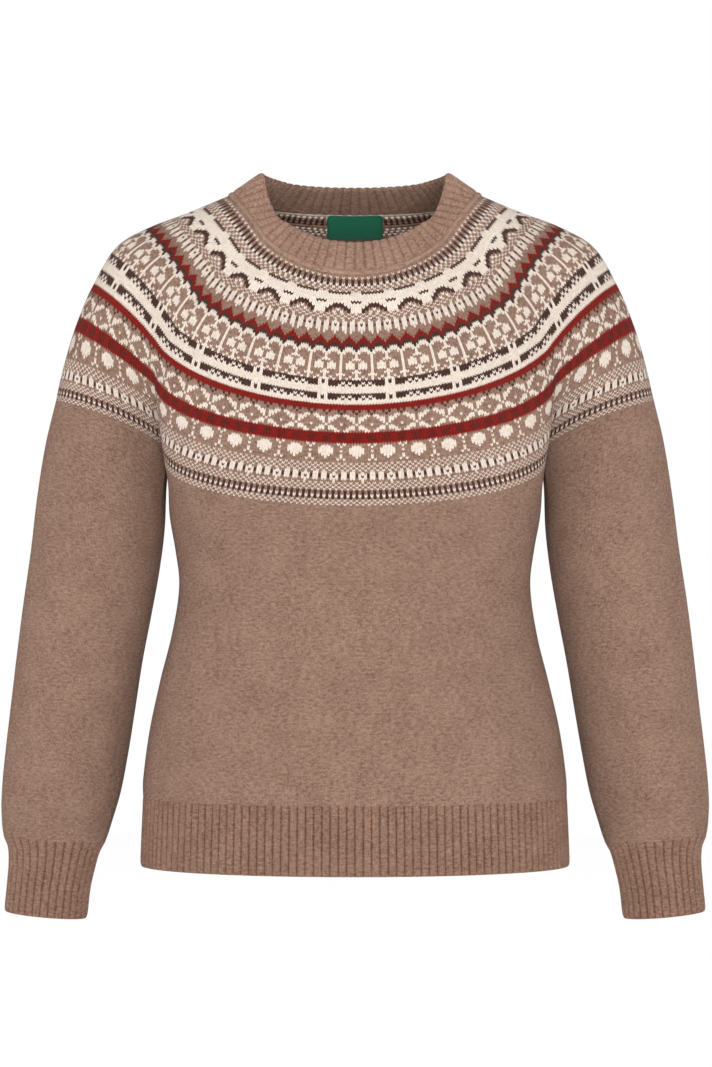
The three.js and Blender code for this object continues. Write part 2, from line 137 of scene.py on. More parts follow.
# Soft folds, each a trough or ridge along a line: on the body from x, z to x, z, and on a sleeve
# from angle (degrees from the outside through the front), z to angle, z.
bodyFolds = [
    {"start": (-112, -272), "end": (-152, -370), "width": 11, "rise": 3.0, "back": False},
    {"start": (-97, -280), "end": (-130, -352), "width": 9, "rise": -2.0, "back": False},
    {"start": (-92, -312), "end": (-60, -356), "width": 11, "rise": 1.0, "back": False},
    {"start": (150, -270), "end": (124, -350), "width": 11, "rise": 2.2, "back": False},
    {"start": (136, -264), "end": (104, -322), "width": 9, "rise": -1.8, "back": False},
    {"start": (-150, -500), "end": (-60, -528), "width": 9, "rise": 1.5, "back": False},
    {"start": (152, -506), "end": (70, -526), "width": 9, "rise": 1.4, "back": False},
    {"start": (-128, -300), "end": (-40, -348), "width": 13, "rise": -2.4, "back": True},
    {"start": (128, -304), "end": (36, -352), "width": 13, "rise": -2.4, "back": True},
    {"start": (-140, -262), "end": (-90, -318), "width": 10, "rise": 2.0, "back": True},
    {"start": (144, -258), "end": (98, -312), "width": 10, "rise": 1.8, "back": True},
    {"start": (-120, -505), "end": (-30, -524), "width": 10, "rise": 1.6, "back": True},
]
sleeveFolds = [
    {"start": (120, -262), "end": (60, -330), "width": 10, "rise": -2.2},
    {"start": (140, -300), "end": (80, -372), "width": 12, "rise": 1.8},
    {"start": (100, -392), "end": (30, -440), "width": 12, "rise": -1.6},
    {"start": (130, -420), "end": (70, -470), "width": 11, "rise": 1.5},
    {"start": (90, -520), "end": (10, -548), "width": 9, "rise": 1.6},
    {"start": (120, -540), "end": (50, -562), "width": 7, "rise": -1.4},
    {"start": (-120, -270), "end": (-60, -340), "width": 11, "rise": -2.2},
    {"start": (-130, -330), "end": (-70, -400), "width": 12, "rise": 1.8},
    {"start": (-100, -430), "end": (-40, -470), "width": 12, "rise": -1.6},
    {"start": (-90, -524), "end": (-20, -552), "width": 9, "rise": 1.5},
]


# Ways to climb from one point to the next: late is the square of the way, early its mirror, and
# eased runs level at both ends.
def late(t):
    return t * t


def early(t):
    return 1 - (1 - t) ** 2


def eased(t, share):
    return (1 - share) * early(t) + share * t * t * (3 - 2 * t)


# An arc leaves its start along one angle and reaches its end along another, as near to a part of
# an ellipse as a cubic comes, and climbs by the given share of the way.
def arc(start, end, leave, arrive, t, climb, flat):
    leave, arrive = np.radians(leave), np.radians(arrive)
    across, ahead = end[0] - start[0], end[1] - start[1]
    handle = np.hypot(across, ahead) * 2 / 3 / (1 + np.cos((arrive - leave) / 2))

    def reach(angle):
        rise = np.abs(np.sin(angle))
        limit = 0.7 * np.abs(ahead) / np.maximum(rise, 0.1)
        return np.where(flat & (rise > 0.1), np.minimum(handle, limit), handle)

    first, last = reach(leave), reach(arrive)
    near = start[0] + first * np.cos(leave), start[1] + first * np.sin(leave)
    far = end[0] - last * np.cos(arrive), end[1] - last * np.sin(arrive)
    share = (1 - t) ** 3, 3 * t * (1 - t) ** 2, 3 * t * t * (1 - t), t**3
    x = share[0] * start[0] + share[1] * near[0] + share[2] * far[0] + share[3] * end[0]
    y = share[0] * start[1] + share[1] * near[1] + share[2] * far[1] + share[3] * end[1]
    return np.stack([x, y, start[2] + (end[2] - start[2]) * climb], axis=-1)


# A ring's point: turn runs from 0 at the centre front through 1 and 3 at the folds and 2 at the
# shoulder to 4 at the centre back, and on to 8 on the mirrored half.
def ringPoint(ring, turn):
    turn = np.mod(turn, 8)
    q = np.where(turn > 4, 8 - turn, turn)
    nothing = np.zeros_like(ring["frontY"])
    front = nothing, ring["frontY"], ring["frontZ"]
    foldFront = ring["foldX"], ring["foldFrontY"], ring["foldFrontZ"]
    out = ring["outX"], ring["outY"], ring["outZ"]
    foldBack = ring["foldX"], ring["foldBackY"], ring["foldBackZ"]
    back = nothing, ring["backY"], ring["backZ"]
    body, sleeve = ring["bodyTurn"], ring["sleeveTurn"]
    t = [np.clip(q - k, 0, 1) for k in range(4)]
    arcs = [
        arc(front, foldFront, nothing, body, t[0], late(t[0]), True),
        arc(foldFront, out, sleeve, nothing + 90, t[1], eased(t[1], ring["ease"]), False),
        arc(out, foldBack, nothing + 90, 180 - sleeve, t[2], late(t[2]), False),
        arc(foldBack, back, 180 - body, nothing + 180, t[3], early(t[3]), True),
    ]
    which = np.clip(np.floor(q), 0, 3).astype(int)
    point = np.choose(which[..., None], arcs)
    point[..., 0] *= np.where(turn > 4, -1, 1)
    return point


# The skin of yoke and neckband: level -1 is the neck's edge, 0 the seam and 1 the last patterned row.
def yokePoint(level, turn):
    level, turn = np.broadcast_arrays(np.asarray(level, float), np.asarray(turn, float))
    below, above = yokeRings.at(level), neckRings.at(level)
    ring = {name: np.where(level < 0, above[name], below[name]) for name in below}
    return ringPoint(ring, turn)


# Outward normal of a skin of two parameters, by central differences.
def normalOf(skin, a, b, stepA, stepB):
    down = skin(a + stepA, b) - skin(a - stepA, b)
    along = skin(a, b + stepB) - skin(a, b - stepB)
    normal = np.cross(down, along)
    return normal / np.maximum(np.linalg.norm(normal, axis=-1, keepdims=True), 1e-12)


# How far folds lift the cloth: each is a bell across its line that fades towards its ends.
def foldLift(folds, a, b):
    lift = np.zeros(np.broadcast(a, b).shape)
    for fold in folds:
        (a0, b0), (a1, b1) = fold["start"], fold["end"]
        da, db = a1 - a0, b1 - b0
        share = np.clip(((a - a0) * da + (b - b0) * db) / (da * da + db * db), 0, 1)
        far = np.hypot(a - a0 - share * da, b - b0 - share * db)
        ends = np.sin(math.pi * np.clip(0.15 + 0.7 * share, 0, 1))
        lift += fold["rise"] * ends * np.exp(-((far / fold["width"]) ** 2))
    return lift


# The body's skin at a height and an angle: an ellipse with its own depth to the front and back,
# lifted by the folds and drawn in along the side seams.
def bodyPoint(z, angle):
    z, angle = np.broadcast_arrays(np.asarray(z, float), np.asarray(angle, float))
    section = bodySections.at(z)
    toFront = np.cos(angle) > 0
    depth = np.where(toFront, -section["frontY"], section["backY"])
    x = section["half"] * np.sin(angle)
    lifts = [
        foldLift([f for f in bodyFolds if f["back"] == back], x, z) for back in (False, True)
    ]
    depth = depth + np.where(toFront, lifts[0], lifts[1])
    return np.stack([x, -depth * np.cos(angle), z], axis=-1)


# The left sleeve's skin at a height of its middle and an angle: an ellipse, tilted by the slope.
def sleevePoint(z, angle):
    z, angle = np.broadcast_arrays(np.asarray(z, float), np.asarray(angle, float))
    section = sleeveSections.at(z)
    middle = (section["out"] + section["in"]) / 2
    half = (section["out"] - section["in"]) / 2
    turned = np.degrees(np.mod(angle + math.pi, 2 * math.pi) - math.pi)
    lift = foldLift(sleeveFolds, turned * 0.9, z)
    x = middle + (half + lift * 0.6) * np.cos(angle)
    y = section["middleY"] - (section["depth"] + lift) * np.sin(angle)
    return np.stack([x, y, z + section["slope"] * (x - middle)], axis=-1)


# A slow unevenness of the cloth: a few sine waves in seeded directions, in millimetres.
waves = np.random.default_rng(11)
waveDirections = waves.normal(size=(9, 3)) / waves.uniform(14, 46, size=(9, 1))
wavePhases = waves.uniform(0, 2 * math.pi, size=9)


def unevenness(points, height):
    phase = np.einsum("...k,wk->...w", points, waveDirections) + wavePhases
    return height * np.sin(phase).sum(-1) / 3


def lengthsAlong(points):
    steps = np.linalg.norm(np.diff(points, axis=1), axis=-1)
    return np.concatenate([np.zeros((len(points), 1)), np.cumsum(steps, axis=1)], axis=1)


# Parameters that part a closed line into equal lengths.
def evenly(pointAt, count, start, end):
    fine = np.linspace(start, end, 4001)
    length = lengthsAlong(pointAt(fine)[None])[0]
    return np.interp(np.linspace(0, length[-1], count + 1), length, fine)


# A closed shell from outer and inner rows, each from its upper to its lower edge. The last column
# of a tube repeats its first, which is left out of its vertices. Widths and heights in the UV map
# are in stitches. The first material is the outside's and the rims', and the second the inside's.
def makeShell(name, outer, inner, outerUv, innerUv, materials, tube=True):
    points = np.concatenate([outer, inner[::-1]]) * millimetre
    uv = np.concatenate([outerUv, innerUv[::-1]])
    rows, columns = points.shape[0], points.shape[1]
    kept = columns - 1 if tube else columns
    vertices = points[:, :kept].reshape(-1, 3)
    i, j = np.meshgrid(np.arange(rows), np.arange(columns - 1), indexing="ij")
    down, across = (i + 1) % rows, (j + 1) % kept
    corners = [(i, j, j), (down, j, j), (down, across, j + 1), (i, across, j + 1)]
    faces = np.stack([a * kept + b for a, b, _ in corners], axis=-1).reshape(-1, 4)
    faceUv = np.stack([uv[a, c] for a, _, c in corners], axis=-2).reshape(-1, 4, 2)
    inside = ((i >= len(outer)) & (i < rows - 1)).reshape(-1)
    if not tube:
        half = np.arange(len(outer) - 1)
        mirror = rows - 1 - half
        for column, order in ((0, (0, 1, 2, 3)), (kept - 1, (3, 2, 1, 0))):
            ends = np.stack([half, mirror, mirror - 1, half + 1], axis=-1)[:, order]
            faces = np.concatenate([faces, ends * kept + column])
            faceUv = np.concatenate([faceUv, uv[ends, column]])
            inside = np.concatenate([inside, np.zeros(len(ends), bool)])
    mesh = bpy.data.meshes.new(name)
    mesh.vertices.add(len(vertices))
    mesh.vertices.foreach_set("co", vertices.ravel())
    mesh.loops.add(faces.size)
    mesh.loops.foreach_set("vertex_index", faces.ravel())
    mesh.polygons.add(len(faces))
    mesh.polygons.foreach_set("loop_start", np.arange(0, faces.size, 4))
    mesh.polygons.foreach_set("material_index", inside.astype(np.int32))
    mesh.polygons.foreach_set("use_smooth", np.ones(len(faces), bool))
    mesh.uv_layers.new(name="Knit").data.foreach_set("uv", faceUv.ravel())
    mesh.update(calc_edges=True)
    mesh.validate()
    mesh.set_sharp_from_angle(angle=math.radians(55))
    piece = bpy.data.objects.new(name, mesh)
    bpy.context.scene.collection.objects.link(piece)
    for material in materials:
        mesh.materials.append(material)
    return piece


# The area of a grid of points, in square metres: half the cross product of each cell's diagonals.
def areaOf(points):
    points = points * millimetre
    first = points[1:, 1:] - points[:-1, :-1]
    second = points[1:, :-1] - points[:-1, 1:]
    return float(np.linalg.norm(np.cross(first, second), axis=-1).sum() / 2)


def linear(red, green, blue, strength=1.0):
    shares = [value / 255 for value in (red, green, blue)]
    curve = [c / 12.92 if c < 0.04045 else ((c + 0.055) / 1.055) ** 2.4 for c in shares]
    return (*[c * strength for c in curve], 1.0)


class Value:
    # A socket of a cloth's shader, so that sums of sockets read as plain arithmetic.
    def __init__(self, cloth, socket):
        self.cloth, self.socket = cloth, socket

    def math(self, operation, *others):
        inputs = dict(enumerate([self, *others]))
        return self.cloth.node("ShaderNodeMath", {"operation": operation}, inputs)

    def reversed(self, operation, other):
        return self.cloth.node("ShaderNodeMath", {"operation": operation}, {0: other, 1: self})

    def __add__(self, other):
        return self.math("ADD", other)

    def __radd__(self, other):
        return self.math("ADD", other)

    def __sub__(self, other):
        return self.math("SUBTRACT", other)

    def __rsub__(self, other):
        return self.reversed("SUBTRACT", other)

    def __mul__(self, other):
        return self.math("MULTIPLY", other)

    def __rmul__(self, other):
        return self.math("MULTIPLY", other)

    def __truediv__(self, other):
        return self.math("DIVIDE", other)

    def __mod__(self, other):
        return self.math("FLOORED_MODULO", other)

    def __rpow__(self, other):
        return self.reversed("POWER", other)

    def __gt__(self, other):
        return self.math("GREATER_THAN", other)

    def __abs__(self):
        return self.math("ABSOLUTE")

    def limited(self):
        return self.cloth.node("ShaderNodeClamp", {}, {0: self})


# A colour ramp is read at 256 places and holds 32 stops, each between 0 and 1. So a row's mask is
# kept as a share of maskScale, a band's stitches of countScale and its repeat of periodScale.
rampEnd = 255
rampStops = 32
maskScale = 4096
countScale = 1000
periodScale = 32


class Cloth:
    # A material of a knitted piece, with the fixed settings of its surface.
    def __init__(self, name, roughness, sheen, specular=0.05):
        self.material = bpy.data.materials.new(name)
        self.material.use_nodes = True
        self.tree = self.material.node_tree
        self.tree.nodes.clear()
        self.surface = self.tree.nodes.new("ShaderNodeBsdfPrincipled")
        settings = {
            "Roughness": roughness,
            "Specular IOR Level": specular,
            "Sheen Weight": sheen,
            "Sheen Roughness": 0.5,
            "Sheen Tint": (1.0, 0.86, 0.76, 1.0),
        }
        for key, value in settings.items():
            self.surface.inputs[key].default_value = value
        output = self.tree.nodes.new("ShaderNodeOutputMaterial")
        self.tree.links.new(self.surface.outputs[0], output.inputs[0])

    def node(self, kind, settings, inputs, output=0):
        made = self.tree.nodes.new(kind)
        for key, value in settings.items():
            setattr(made, key, value)
        for key, value in inputs.items():
            if isinstance(value, Value):
                self.tree.links.new(value.socket, made.inputs[key])
            else:
                made.inputs[key].default_value = value
        return Value(self, made.outputs[output])

    def place(self):
        return self.node("ShaderNodeTexCoord", {}, {}, "Object")

    def stitches(self):
        uv = self.node("ShaderNodeUVMap", {"uv_map": "Knit"}, {})
        parts = self.node("ShaderNodeSeparateXYZ", {}, {0: uv})
        return Value(self, parts.socket.node.outputs[0]), Value(self, parts.socket.node.outputs[1])

    def vector(self, x, y):
        return self.node("ShaderNodeCombineXYZ", {}, {0: x, 1: y})

    def noise(self, vector, scale, detail=2.0, roughness=0.5):
        inputs = {"Vector": vector, "Scale": scale, "Detail": detail, "Roughness": roughness}
        return self.node("ShaderNodeTexNoise", {}, inputs)

    def mix(self, factor, first, second):
        inputs = {0: factor, 6: first, 7: second}
        return self.node("ShaderNodeMix", {"data_type": "RGBA"}, inputs, 2)

    # A ramp of steps. Step k of the table is read half a place above k.
    def steps(self, index, starts, colours):
        factor = (index + 0.5) / rampEnd
        ramp = self.node("ShaderNodeValToRGB", {}, {0: factor})
        band = ramp.socket.node.color_ramp
        band.interpolation = "CONSTANT"
        band.elements.remove(band.elements[1])
        band.elements[0].position, band.elements[0].color = 0.0, colours[0]
        for start, colour in list(zip(starts, colours))[1:]:
            band.elements.new((start - 0.5) / rampEnd).color = colour
        parts = self.node("ShaderNodeSeparateColor", {}, {0: ramp})
        alpha = ramp.socket.node.outputs[1]
        return [Value(self, socket) for socket in (*parts.socket.node.outputs, alpha)]

    def finish(self, colour, height, distance):
        inputs = {"Height": height, "Distance": distance, "Strength": 1.0}
        bump = self.node("ShaderNodeBump", {}, inputs)
        self.tree.links.new(colour.socket, self.surface.inputs["Base Color"])
        self.tree.links.new(bump.socket, self.surface.inputs["Normal"])
        return self.material


# A knit stitch is two slanted legs that meet at its foot. The rows sag towards the foot by
# "sag" rows, each leg is a rounded ridge across half the stitch, and each row is rounded too.
knit = {"sag": 0.85, "bump": 0.0011}


def slanted(fx, v):
    across = abs(2 * (fx % 1.0) - 1)
    return v + (across - 0.5) * knit["sag"]


def legHeight(fx, slantedV):
    across = abs(2 * (fx % 1.0) - 1)
    leg = 1 - (2 * across - 1) * (2 * across - 1)
    along = 2 * (slantedV % 1.0) - 1
    return leg.math("POWER", 0.7) * (1 - 0.55 * along * along)


yarns = {
    "brown": {"dark": linear(92, 65, 52), "light": linear(157, 127, 111)},
    "rib": {"dark": linear(88, 61, 48), "light": linear(150, 119, 103)},
    "neck": {"dark": linear(100, 72, 58), "light": linear(170, 138, 121)},
    "cream": {"dark": linear(192, 176, 161), "light": linear(226, 214, 202)},
    "dark": {"dark": linear(36, 20, 16), "light": linear(74, 48, 41)},
    "red": {"dark": linear(88, 5, 3), "light": linear(131, 16, 9)},
    "maroon": {"dark": linear(60, 12, 10), "light": linear(104, 24, 18)},
}


def yarnColour(cloth, yarn, factor):
    return cloth.mix(factor, yarns[yarn]["dark"], yarns[yarn]["light"])


# Mottling of a marled yarn, from 0 to 1: short streaks along the rows, fine fibres and slow patches.
marling = {"streak": 0.55, "fibre": 1000.0, "patch": 38.0, "shares": (1.5, 2.0, 0.45)}


def marl(cloth, u, v):
    streaks = cloth.noise(cloth.vector(u * marling["streak"], v), 1.0, 2.0, 0.7)
    fibres = cloth.noise(cloth.place(), marling["fibre"], 3.0, 0.7)
    patches = cloth.noise(cloth.place(), marling["patch"], 3.0, 0.55)
    first, second, third = marling["shares"]
    blend = 0.5 + (streaks - 0.5) * first + (fibres - 0.5) * second + (patches - 0.5) * third
    return blend.limited()


# Loose fibres that stand up from the stitches, as a share of a stitch's height.
def fuzz(cloth):
    return cloth.noise(cloth.place(), 1500.0, 2.0, 0.6) * 0.35


def makeJersey(name, inside):
    cloth = Cloth(name, 0.95, 0.05)
    u, v = cloth.stitches()
    wobble = cloth.noise(cloth.place(), 60.0, 1.0)
    u = u + (wobble - 0.5) * 0.4
    if inside:
        row = 2 * (v % 1.0) - 1
        arch = 2 * ((u + 0.5 * (v % 2.0).math("FLOOR")) % 1.0) - 1
        height = (1 - row * row) * (1 - 0.4 * arch * arch)
    else:
        height = legHeight(u, slanted(u, v))
    # Painted shade and light: the colour is darker where a stitch lies low and lighter on its tops, on top of
    # the marl.
    colour = yarnColour(cloth, "brown", (marl(cloth, u, v) + (height - 0.5) * 0.35).limited())
    return cloth.finish(colour, height + fuzz(cloth), knit["bump"])


# A rib repeats over three columns of stitches: two on its ridge and one in the groove, which lies at whole
# numbers of "u"; the groove is sunk in the bump and darkened in colour by its depth as painted shade. The
# first rows may be plain.
def makeRib(name, yarn, plainRows=-1.0):
    cloth = Cloth(name, 0.95, 0.05)
    u, v = cloth.stitches()
    fromRidge = abs(2 * (u % 1.0) - 1)
    groove = ((fromRidge - 0.66) / 0.34).limited() * (v > plainRows)
    fx = u * 3 + 0.5
    height = legHeight(fx, slanted(fx, v)) * (1 - groove)
    # Painted shade and light: the colour darkens in the groove and where a stitch lies low, and lightens on
    # the stitches' tops, on top of the marl.
    shade = marl(cloth, u * 3, v) + (height - 0.5) * 0.2 - groove * 0.3
    colour = yarnColour(cloth, yarn, shade.limited())
    return cloth.finish(colour, height * 0.8 + fuzz(cloth), knit["bump"])


# The pattern from the neck down. "to" is the lower edge of a band, as its share of the yoke's depth
# in thousandths, "repeat" the width of one repeat at the centre front in millimetres, and each row
# names its yarns from the centre front: B brown, C cream, D dark, R red, M maroon. A mirrored band
# gives half of its repeat, from its first to its middle column. In a thin one the brown stitches
# bulge over the cream, so that only a thin zigzag of it shows.
patternBands = [
    {"to": 23, "repeat": 5.4, "thin": True, "rows": ["BB", "CB"]},
    {"to": 70, "repeat": 5.4, "rows": ["BD", "BD", "CD", "BC"]},
    {"to": 89, "repeat": 5.4, "thin": True, "rows": ["CB", "BC"]},
    {
        "to": 185,
        "repeat": 29.8,
        "rows": [
            "CCDDDDDDDC",
            "CCCCCCCCCC",
            "CCCCCCCCCC",
            "CCCCCCCCCC",
            "DDCCCCCCCD",
            "CCCCDDDCCC",
            "CCCDDDDDCC",
            "CCDDBCBDDC",
            "CCDBCBCBDC",
        ],
    },
    {"to": 207, "repeat": 6.1, "thin": True, "rows": ["CB", "BC", "CB"]},
    {
        "to": 271,
        "repeat": 22.9,
        "rows": [
            "BBCBBCBBBC",
            "BCCCBCCBCC",
            "DCDCDCCDCC",
            "BCCCBCCBCC",
            "BCCCBCCBCC",
            "BBCBBBCBCB",
            "BBBBBBBBBB",
        ],
    },
    {"to": 327, "repeat": 12.5, "rows": ["BBBRBB", "BBRRRB", "BRRRRR", "RRDDDR", "RDDDDD", "DDCCCD"]},
    {
        "to": 455,
        "repeat": 26.6,
        "rows": [
            "DCCCCDCCCC",
            "CCBBCCCBBC",
            "CBBBBCBBBB",
            "CBBBBCBBBB",
            "CCBBBCBBBC",
            "BBCBBCBBCB",
            "BCCCBCBCCC",
            "BCCCBCBCCC",
            "BCCCBCBCCC",
            "CBBBBCBBBB",
            "CCBBBCBBBC",
            "CBBBCCCBBB",
            "CBCBBCBBCB",
            "CCBCBCBCBC",
        ],
    },
    {"to": 484, "repeat": 58.4, "mirrored": True, "rows": ["DDDDDDDDDCD", "DDCDCDDDDCD", "DCDCDCDDDCC"]},
    {"to": 516, "repeat": 2.6, "rows": ["C", "C", "C"]},
    {"to": 545, "repeat": 58.4, "mirrored": True, "rows": ["DDDDDDDDDCC", "DDCDCDDDDCD", "DCDCDCDDDCD"]},
    {"to": 565, "repeat": 2.6, "rows": ["C", "C"]},
    {"to": 591, "repeat": 2.6, "rows": ["R", "R", "R"]},
    {"to": 610, "repeat": 12.9, "rows": ["BDBBD", "DBBBB"]},
    {
        "to": 684,
        "repeat": 26.0,
        "rows": [
            "BBBCCBCCBB",
            "BCCCBBBCCC",
            "BCCBBBBBCC",
            "BCBBBBBBBC",
            "CBBBBCBBBB",
            "BCCBBBBBCC",
            "BCCCBBBCCC",
            "BBBCCBCCBB",
        ],
    },
    {"to": 733, "repeat": 12.9, "rows": ["RRRRR", "MMRRM", "MMRRM", "MMRRM", "RRRRR"]},
    {
        "to": 815,
        "repeat": 27.0,
        "rows": [
            "BBBBCBCBBB",
            "CCBBBCBBBC",
            "CCCBBBBBCC",
            "CCCBBCBBCC",
            "CCCBBBBBCC",
            "CCBBBCBBBC",
            "CBBBBCBBBB",
            "BBBBCBCBBB",
            "BBBBBBBBBB",
        ],
    },
    {"to": 853, "repeat": 5.1, "thin": True, "rows": ["CB", "BC", "CB", "BC"]},
    {
        "to": 898,
        "repeat": 24.8,
        "rows": ["BBCBBCCBCC", "DCCCDCCDCC", "DCDCDCCDCC", "BCCCBCCBCC", "BBCBBBBBBB"],
    },
    {"to": 934, "repeat": 5.1, "thin": True, "rows": ["CB", "BC", "CB", "BC"]},
    {"to": 973, "repeat": 5.15, "rows": ["DB", "DB", "DC", "DB"]},
    {"to": 1000, "repeat": 5.15, "thin": True, "rows": ["CB", "BC", "CB"]},
]
ringTurns = np.linspace(0, 8, 2001)


def layOutPattern():
    level, row = 0.0, 0
    edges, counts, masks = [(0.0, 0)], [], []
    for band in patternBands:
        nextLevel, rows = band["to"] / 1000, band["rows"]
        width = len(rows[0])
        period = 2 * (width - 1) if band.get("mirrored") else width
        middle = (level + nextLevel) / 2
        around = lengthsAlong(yokePoint(middle, ringTurns)[None])[0, -1]
        repeats = round(around / band["repeat"])
        kinds = [float(band.get(kind, False)) for kind in ("mirrored", "thin")]
        counts.append((row, (repeats * period / countScale, period / periodScale, *kinds)))
        for letters in rows:
            bits = []
            for yarn in ("CM", "DM", "R", "CDRM"):
                value = sum(2**k for k, letter in enumerate(letters) if letter in yarn)
                bits.append(value / maskScale)
            masks.append(bits)
        row += len(rows)
        edges.append((nextLevel, row))
        level = nextLevel
    return np.array(edges), counts, masks


patternEdges, patternCounts, patternMasks = layOutPattern()
print("pattern rows", len(patternMasks), "bands", len(patternCounts))


# The band of a row: stitches round the yoke, columns of a repeat, and whether mirrored or thin.
def bandOf(cloth, row):
    count, period, mirrored, thin = cloth.steps(row, *zip(*patternCounts))
    return count * countScale, period * periodScale, mirrored, thin


# The row's masks hold one bit a column for cream, dark, red and any of them: a column's bit is the
# floor of the mask over two to the power of the column, and odd. Cream and dark together are maroon.
def patternBits(cloth, row, u):
    count, period, mirrored, thin = bandOf(cloth, row)
    totals = [None] * 4
    for start in range(0, len(patternMasks), rampStops):
        rows = list(range(start, min(start + rampStops, len(patternMasks))))
        here = (row > start - 0.5) * (1 - (row > rows[-1] + 0.5))
        parts = cloth.steps(row, rows, [tuple(patternMasks[k]) for k in rows])
        for k in range(4):
            part = parts[k] * here
            totals[k] = part if totals[k] is None else totals[k] + part

    def bitsAt(fx, masks):
        column = fx.math("FLOOR") % period
        folded = (period - column).math("MINIMUM", column)
        power = 2 ** (column + (folded - column) * mirrored)
        return [((mask * maskScale + 0.25) / power).math("FLOOR") % 2 for mask in masks]

    return u * count + 0.5, period, thin, totals, bitsAt


# Beside brown the cream draws in by "narrow" of a stitch, and in a thin band to the middle of its row.
def makeYokeCloth(name):
    narrow, middle = 0.09, 0.56
    cloth = Cloth(name, 0.95, 0.05)
    u, v = cloth.stitches()
    wobble = cloth.noise(cloth.place(), 160.0, 1.0)
    v = v + (wobble - 0.5) * 0.35
    count = bandOf(cloth, v.math("FLOOR"))[0]
    sagging = slanted(u * count + 0.5, v)
    row = sagging.math("FLOOR")
    fx, _, thin, totals, bitsAt = patternBits(cloth, row, u)
    cream, dark, red = bitsAt(fx, totals[:3])
    for side in (-narrow, narrow):
        cream = cream * bitsAt(fx + side * (1 - thin), totals[3:])[0]
    along = abs(2 * (sagging % 1.0) - 1)
    cream = cream * (1 - thin * (along > middle))
    height = legHeight(fx, sagging)
    # Painted shade and light: the colour is darker where a stitch lies low and lighter on its tops, on top of
    # the marl.
    shade = (marl(cloth, fx, v) + (height - 0.5) * 0.4).limited()
    colour = yarnColour(cloth, "brown", shade)
    colour = cloth.mix(cream, colour, yarnColour(cloth, "cream", shade))
    colour = cloth.mix(dark, colour, yarnColour(cloth, "dark", shade))
    colour = cloth.mix(red, colour, yarnColour(cloth, "red", shade))
    colour = cloth.mix(cream * dark, colour, yarnColour(cloth, "maroon", shade))
    # Between the stitches the colour goes to a darker brown: partly the brown yarn showing in the gaps,
    # partly painted shade in the hollows.
    colour = cloth.mix((0.4 - height).limited() * 0.8, colour, linear(104, 78, 64))
    return cloth.finish(colour, height + fuzz(cloth), knit["bump"])


# Inside the yoke the yarns change places: the one that isn't worked lies across the back as a float.
def makeYokeInside(name):
    cloth = Cloth(name, 0.95, 0.04)
    u, v = cloth.stitches()
    wobble = cloth.noise(cloth.place(), 200.0, 1.0)
    v = v + (wobble - 0.5) * 0.5
    row = v.math("FLOOR")
    fx, period, _, totals, bitsAt = patternBits(cloth, row, u)
    worked = bitsAt(fx, totals[3:])[0]
    shade = marl(cloth, fx, v)
    creamFloat, darkFloat = (yarnColour(cloth, yarn, shade) for yarn in ("cream", "dark"))
    floatColour = cloth.mix(totals[1] > 0.0001, creamFloat, darkFloat)
    floatColour = cloth.mix(totals[2] > 0.0001, floatColour, yarnColour(cloth, "red", shade))
    swapped = worked * (period > 1.5)
    colour = cloth.mix(swapped, floatColour, yarnColour(cloth, "brown", shade))
    along = 2 * (v % 1.0) - 1
    across = 2 * (fx % 1.0) - 1
    height = (1 - along * along) * (1 - 0.4 * across * across)
    # Painted shade: between the floats and stitches the colour goes to a dark brown.
    colour = cloth.mix((0.6 - height).limited() * 0.8, colour, linear(66, 46, 40))
    return cloth.finish(colour, height, knit["bump"])


# The label's satin: fine weft lines across it, and a slightly darker folded margin.
def makeLabelCloth():
    cloth = Cloth("labelSatin", 0.42, 0.1, 0.4)
    u, v = cloth.stitches()
    weft = (v * 330).math("SINE")
    warp = (u * 620).math("SINE")
    grain = cloth.noise(cloth.place(), 900.0, 2.0)
    edge = (abs(2 * u - 1)).math("MAXIMUM", abs(2 * v - 1))
    margin = ((edge - 0.9) * 12).limited()
    shade = (0.5 + weft * 0.12 + (grain - 0.5) * 0.6 - margin * 0.3).limited()
    colour = cloth.mix(shade, linear(0, 74, 52), linear(8, 120, 90))
    return cloth.finish(colour, weft + warp * 0.4, 0.00008)


jerseyOutside = makeJersey("jerseyKnit", False)
jerseyInside = makeJersey("jerseyReverse", True)
ribKnit = makeRib("ribKnit", "rib")
neckKnit = makeRib("neckKnit", "neck", plainRows=3.6)
yokeOutside = makeYokeCloth("yokeKnit")
yokeInside = makeYokeInside("yokeFloats")
labelSatin = makeLabelCloth()
print("materials made")

# Yoke
yoke = {
    "quarterColumns": 64,
    "outerRows": 118,
    "innerRows": 60,
    "uneven": 0.25,
    "edge": 0.05,
    "axis": 0.0012,  # the pattern's middle, left of the centre front as a share of a ring
}
yokeTurns = np.linspace(0, 8, 8 * yoke["quarterColumns"] + 1)


def yokeSurface(levels, depth):
    level, turn = np.meshgrid(levels, yokeTurns, indexing="ij")
    points = yokePoint(level, turn)
    share = lengthsAlong(points)
    share = share / share[:, -1:] - yoke["axis"]
    row = np.interp(level, patternEdges[:, 0], patternEdges[:, 1])
    normal = normalOf(yokePoint, level, turn, 0.01, 0.02)
    fade = np.clip(level / yoke["edge"], 0, 1) * np.clip((1 - level) / yoke["edge"], 0, 1)
    lift = unevenness(points, yoke["uneven"]) * fade
    points = points + normal * (lift - depth)[..., None]
    return points, np.stack([share, row], axis=-1)


def makeYoke():
    outer, outerUv = yokeSurface(np.linspace(0.0, 1, yoke["outerRows"]), 0)
    inner, innerUv = yokeSurface(np.linspace(0.0, 1, yoke["innerRows"]), wall["stranded"])
    piece = makeShell("yokeCloth", outer, inner, outerUv, innerUv, [yokeOutside, yokeInside])
    return piece, outer, inner


yokePiece, yokeOuter, yokeInner = makeYoke()
print("yoke made", len(yokePiece.data.polygons))

